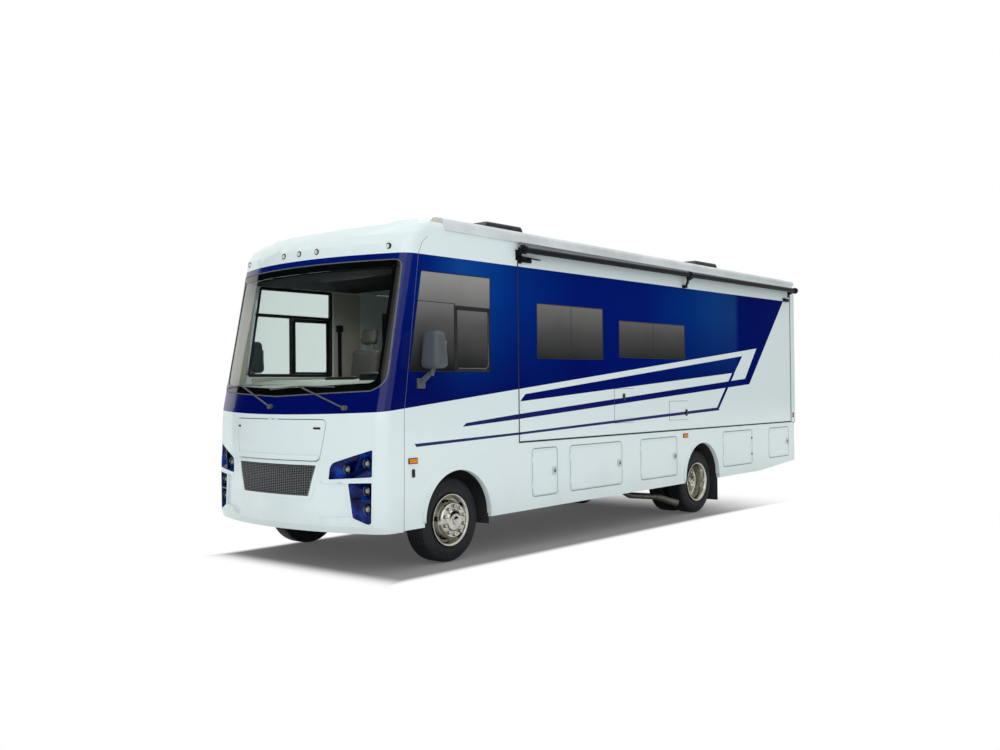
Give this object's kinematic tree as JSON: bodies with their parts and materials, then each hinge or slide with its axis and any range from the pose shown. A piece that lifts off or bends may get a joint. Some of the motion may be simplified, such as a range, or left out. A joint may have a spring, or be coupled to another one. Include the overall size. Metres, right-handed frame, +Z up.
{
  "type": "class A motorhome with a full-wall slide-out room",
  "caption": "Full-size motorhome: hollow body on a truck chassis with twin rear tyres, slide-out room, entry door, luggage doors, steered front wheels and a nose hatch.",
  "frame": {"origin": "on the ground under the middle of the vehicle's length and width", "axes": "+X forward along the vehicle, +Y to its left, +Z up"},
  "size_m": [9.34, 3.06, 3.6964],
  "materials": {
    "gelcoat": "gloss two-tone gelcoat, white with a deep blue band and stripes",
    "roof_skin": "white rubber roof membrane",
    "tinted_glass": "dark tinted glass",
    "windscreen_glass": "clear laminated glass",
    "grille_mesh": "grey woven mesh",
    "pod_blue": "gloss blue lamp surrounds",
    "lamp_glass": "clear lamp lenses",
    "amber_lens": "amber lens",
    "red_lens": "red lens",
    "black_plastic": "black moulded plastic",
    "grey_plastic": "dark grey textured plastic",
    "frame_steel": "black chassis paint",
    "cast_steel": "bare and painted castings",
    "engine_block": "plain block",
    "exhaust_steel": "aluminised steel",
    "tyre_rubber": "road tyre rubber",
    "rim_chrome": "polished stainless wheel liners",
    "step_steel": "black coated steel",
    "bin_plastic": "moulded compartment liner",
    "flap_rubber": "rubber sheet",
    "awning_fabric": "grey coated awning fabric",
    "awning_metal": "black powder coated aluminium",
    "floor_ply": "vinyl covered plywood",
    "dash_vinyl": "moulded light dashboard",
    "seat_vinyl": "grey seat vinyl",
    "furniture": "light cabinet board",
    "ladder_aluminium": "aluminium tube"
  },
  "bodies": {
    "coach": {"axles": "cast_steel", "cab_seats": "seat_vinyl", "cabinets": "furniture", "chassis_frame": "frame_steel", "cross_members": "frame_steel", "dashboard": "dash_vinyl", "engine": "engine_block", "entry_steps": "step_steel", "exhaust": "exhaust_steel", "floor": "floor_ply", "front_cap": "gelcoat", "grille": "grille_mesh", "headlamp_pods": "pod_blue", "headlamps": "lamp_glass", "leaf_springs": "frame_steel", "left_wall": "gelcoat", "marker_lamps": "amber_lens", "mirrors": "grey_plastic", "mud_flaps": "flap_rubber", "overhead_bunk": "furniture", "patio_awning": "awning_metal", "rear_ladder": "ladder_aluminium", "rear_wall": "gelcoat", "right_wall": "gelcoat", "roof": "roof_skin", "roof_units": "grey_plastic", "seat_bases": "black_plastic", "side_windows": "tinted_glass", "skirts": "gelcoat", "steering_wheel": "black_plastic", "storage_bins": "bin_plastic", "tail_lamps": "red_lens", "tanks": "black_plastic", "topper_fabric": "awning_fabric", "windscreen": "windscreen_glass", "wipers": "black_plastic"},
    "steer_left": {"knuckle_left": "cast_steel"},
    "steer_right": {"knuckle_right": "cast_steel"},
    "wheel_front_left": {"front_tyre_left": "tyre_rubber", "front_rim_left": "rim_chrome"},
    "wheel_front_right": {"front_tyre_right": "tyre_rubber", "front_rim_right": "rim_chrome"},
    "wheels_rear_left": {"rear_tyres_left": "tyre_rubber", "rear_rims_left": "rim_chrome"},
    "wheels_rear_right": {"rear_tyres_right": "tyre_rubber", "rear_rims_right": "rim_chrome"},
    "slideout": {"slideout_room": "gelcoat", "slideout_windows": "tinted_glass", "topper_roller": "awning_metal"},
    "entry_door": {"entry_door": "gelcoat", "entry_door_window": "tinted_glass"},
    "front_hatch": {"front_hatch": "gelcoat"},
    "locker_left_1": {"locker_door_left_1": "gelcoat"},
    "locker_left_2": {"locker_door_left_2": "gelcoat"},
    "locker_left_3": {"locker_door_left_3": "gelcoat"},
    "locker_left_4": {"locker_door_left_4": "gelcoat"},
    "locker_left_5": {"locker_door_left_5": "gelcoat"},
    "locker_right_1": {"locker_door_right_1": "gelcoat"},
    "locker_right_2": {"locker_door_right_2": "gelcoat"},
    "locker_right_3": {"locker_door_right_3": "gelcoat"}
  },
  "joints": [
    {"name": "steer_left_turn", "type": "hinge", "parent": "coach", "child": "steer_left", "pos_m": [3.385, 0.9, 0.4215], "axis": [0, 0, 1], "range_deg": [-35, 35]},
    {"name": "steer_right_turn", "type": "hinge", "parent": "coach", "child": "steer_right", "pos_m": [3.385, -0.9, 0.4215], "axis": [0, 0, 1], "range_deg": [-35, 35]},
    {"name": "front_left_roll", "type": "hinge", "parent": "steer_left", "child": "wheel_front_left", "pos_m": [3.385, 1.076, 0.4215], "axis": [0, 1, 0], "continuous": true},
    {"name": "rear_left_roll", "type": "hinge", "parent": "coach", "child": "wheels_rear_left", "pos_m": [-1.529, 0.93, 0.4215], "axis": [0, 1, 0], "continuous": true},
    {"name": "front_right_roll", "type": "hinge", "parent": "steer_right", "child": "wheel_front_right", "pos_m": [3.385, -1.076, 0.4215], "axis": [0, 1, 0], "continuous": true},
    {"name": "rear_right_roll", "type": "hinge", "parent": "coach", "child": "wheels_rear_right", "pos_m": [-1.529, -0.93, 0.4215], "axis": [0, 1, 0], "continuous": true},
    {"name": "slideout_extend", "type": "slide", "parent": "coach", "child": "slideout", "axis": [0, 1, 0], "range_m": [0, 0.56], "deforming": ["topper_fabric"]},
    {"name": "entry_door_swing", "type": "hinge", "parent": "coach", "child": "entry_door", "pos_m": [2.137, -1.2853, 1.7], "axis": [0, 0, 1], "range_deg": [0, 95]},
    {"name": "front_hatch_lift", "type": "hinge", "parent": "coach", "child": "front_hatch", "pos_m": [4.64008, 0, 1.457], "axis": [0, -1, 0], "range_deg": [0, 75]},
    {"name": "locker_left_1_swing", "type": "hinge", "parent": "coach", "child": "locker_left_1", "pos_m": [2.183, 1.2853, 0.808], "axis": [0, 0, -1], "range_deg": [0, 95]},
    {"name": "locker_left_2_swing", "type": "hinge", "parent": "coach", "child": "locker_left_2", "pos_m": [1.492, 1.2853, 0.809], "axis": [0, 0, -1], "range_deg": [0, 95]},
    {"name": "locker_left_3_swing", "type": "hinge", "parent": "coach", "child": "locker_left_3", "pos_m": [0.012, 1.2853, 0.815], "axis": [0, 0, -1], "range_deg": [0, 95]},
    {"name": "locker_left_4_swing", "type": "hinge", "parent": "coach", "child": "locker_left_4", "pos_m": [-2.1245, 1.2853, 0.8285], "axis": [0, 0, -1], "range_deg": [0, 95]},
    {"name": "locker_left_5_swing", "type": "hinge", "parent": "coach", "child": "locker_left_5", "pos_m": [-3.5676, 1.2853, 0.8495], "axis": [0, 0, -1], "range_deg": [0, 95]},
    {"name": "locker_right_1_swing", "type": "hinge", "parent": "coach", "child": "locker_right_1", "pos_m": [1.062, -1.2853, 0.809], "axis": [0, 0, 1], "range_deg": [0, 95]},
    {"name": "locker_right_2_swing", "type": "hinge", "parent": "coach", "child": "locker_right_2", "pos_m": [-0.008, -1.2853, 0.815], "axis": [0, 0, 1], "range_deg": [0, 95]},
    {"name": "locker_right_3_swing", "type": "hinge", "parent": "coach", "child": "locker_right_3", "pos_m": [-2.3236, -1.2853, 0.837], "axis": [0, 0, 1], "range_deg": [0, 95]}
  ],
  "couplings": [
    {"joint": "steer_right_turn", "follows": "steer_left_turn", "ratio": 1}
  ]
}
